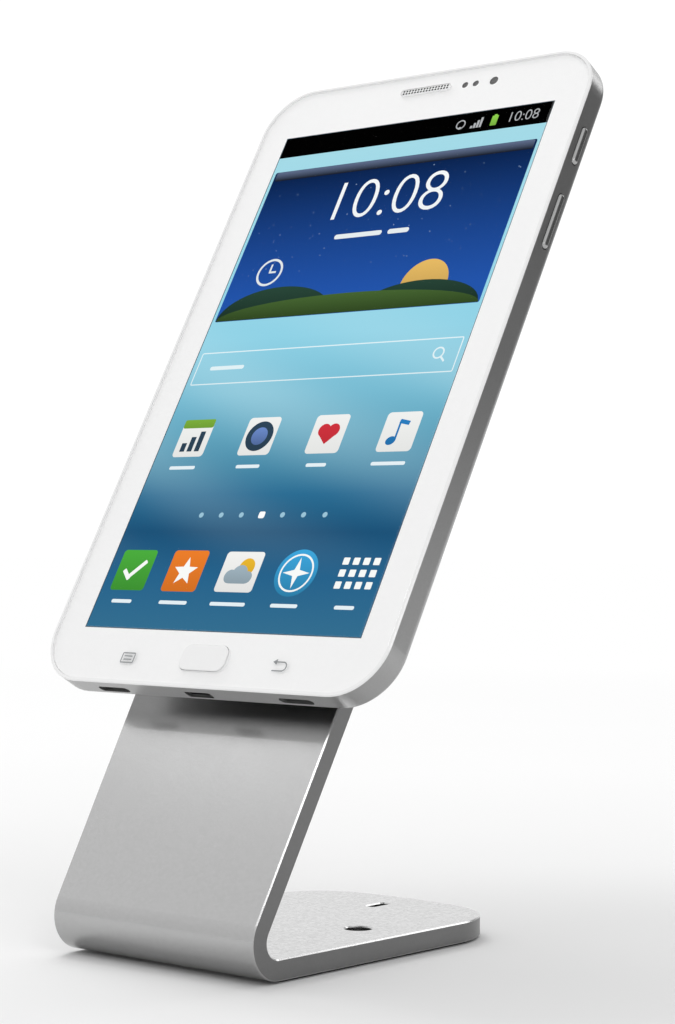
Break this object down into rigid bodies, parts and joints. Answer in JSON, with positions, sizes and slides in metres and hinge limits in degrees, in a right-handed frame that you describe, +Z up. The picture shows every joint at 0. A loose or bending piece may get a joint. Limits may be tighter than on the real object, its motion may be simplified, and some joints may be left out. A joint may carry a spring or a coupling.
{
  "type": "tablet kiosk stand",
  "caption": "Seven-inch tablet fixed to a counter stand bent from one thick aluminium plate, with bolt holes and a lock slot in its base and sprung home, power and volume keys.",
  "frame": {"origin": "on the counter, midway between the two bolt holes of the base", "axes": "+X to the right of a person who faces the tablet, +Y away from them, +Z up"},
  "size_m": [0.1109, 0.1113, 0.2259],
  "materials": {
    "stand_aluminium": "bead blasted and clear anodised, satin",
    "plate_aluminium": "mill finish",
    "screw_steel": "satin stainless",
    "pad_rubber": "matt",
    "foam_adhesive": "matt foam",
    "front_glass": "clear with a white border",
    "white_print": "white",
    "white_plastic": "glossy white",
    "display_glass": "lit display",
    "film": "white light guide",
    "chassis_metal": "magnesium casting",
    "band_metal": "grey satin",
    "key_metal": "grey satin",
    "battery_wrap": "wrapped pouch",
    "board": "green solder mask",
    "chip": "black moulding",
    "can_metal": "tinned sheet",
    "flex_film": "amber film",
    "black_plastic": "moulded",
    "mesh_metal": "dark perforated sheet",
    "lens_glass": "coated"
  },
  "bodies": {
    "stand": {"stand_body": "stand_aluminium", "base_pad": "pad_rubber", "mounting_plate": "plate_aluminium", "adhesive_pad": "foam_adhesive", "plate_screws": "screw_steel", "cover_glass": "front_glass", "bezel_mask": "white_print", "front_rim": "white_plastic", "display_panel": "display_glass", "backlight": "film", "chassis": "chassis_metal", "side_frame": "band_metal", "rear_cover": "band_metal", "battery": "battery_wrap", "battery_lead": "flex_film", "main_board": "board", "board_chips": "chip", "board_shields": "can_metal", "board_screws": "screw_steel", "sub_board": "board", "sub_board_flex": "flex_film", "display_flex": "flex_film", "antenna_flex": "flex_film", "vibration_motor": "screw_steel", "left_speaker": "black_plastic", "right_speaker": "black_plastic", "speaker_meshes": "mesh_metal", "usb_socket": "can_metal", "headphone_jack": "black_plastic", "earpiece_grille": "white_plastic", "earpiece_receiver": "black_plastic", "front_camera": "black_plastic", "light_sensor": "black_plastic", "rear_camera": "black_plastic", "rear_camera_ring": "band_metal", "rear_camera_window": "lens_glass", "home_switch": "black_plastic", "power_switch": "black_plastic", "volume_switches": "black_plastic", "key_flex": "flex_film"},
    "home_button": {"home_button": "white_plastic", "home_plunger": "black_plastic"},
    "power_key": {"power_key": "key_metal", "power_plunger": "black_plastic"},
    "volume_key": {"volume_key": "key_metal", "volume_plungers": "black_plastic"}
  },
  "joints": [
    {"name": "home_press", "type": "slide", "parent": "stand", "child": "home_button", "axis": [0, 0.8695, -0.4939], "range_m": [0, 0.00035], "stiffness_N_per_m": 4000},
    {"name": "power_press", "type": "slide", "parent": "stand", "child": "power_key", "axis": [-1, 0, 0], "range_m": [0, 0.0003], "stiffness_N_per_m": 5000},
    {"name": "volume_rock", "type": "hinge", "parent": "stand", "child": "volume_key", "pos_m": [0.053, 0.03013, 0.17864], "axis": [0, 0.8695, -0.4939], "range_deg": [-2.2, 2.2], "stiffness_Nm_per_rad": 0.5}
  ]
}
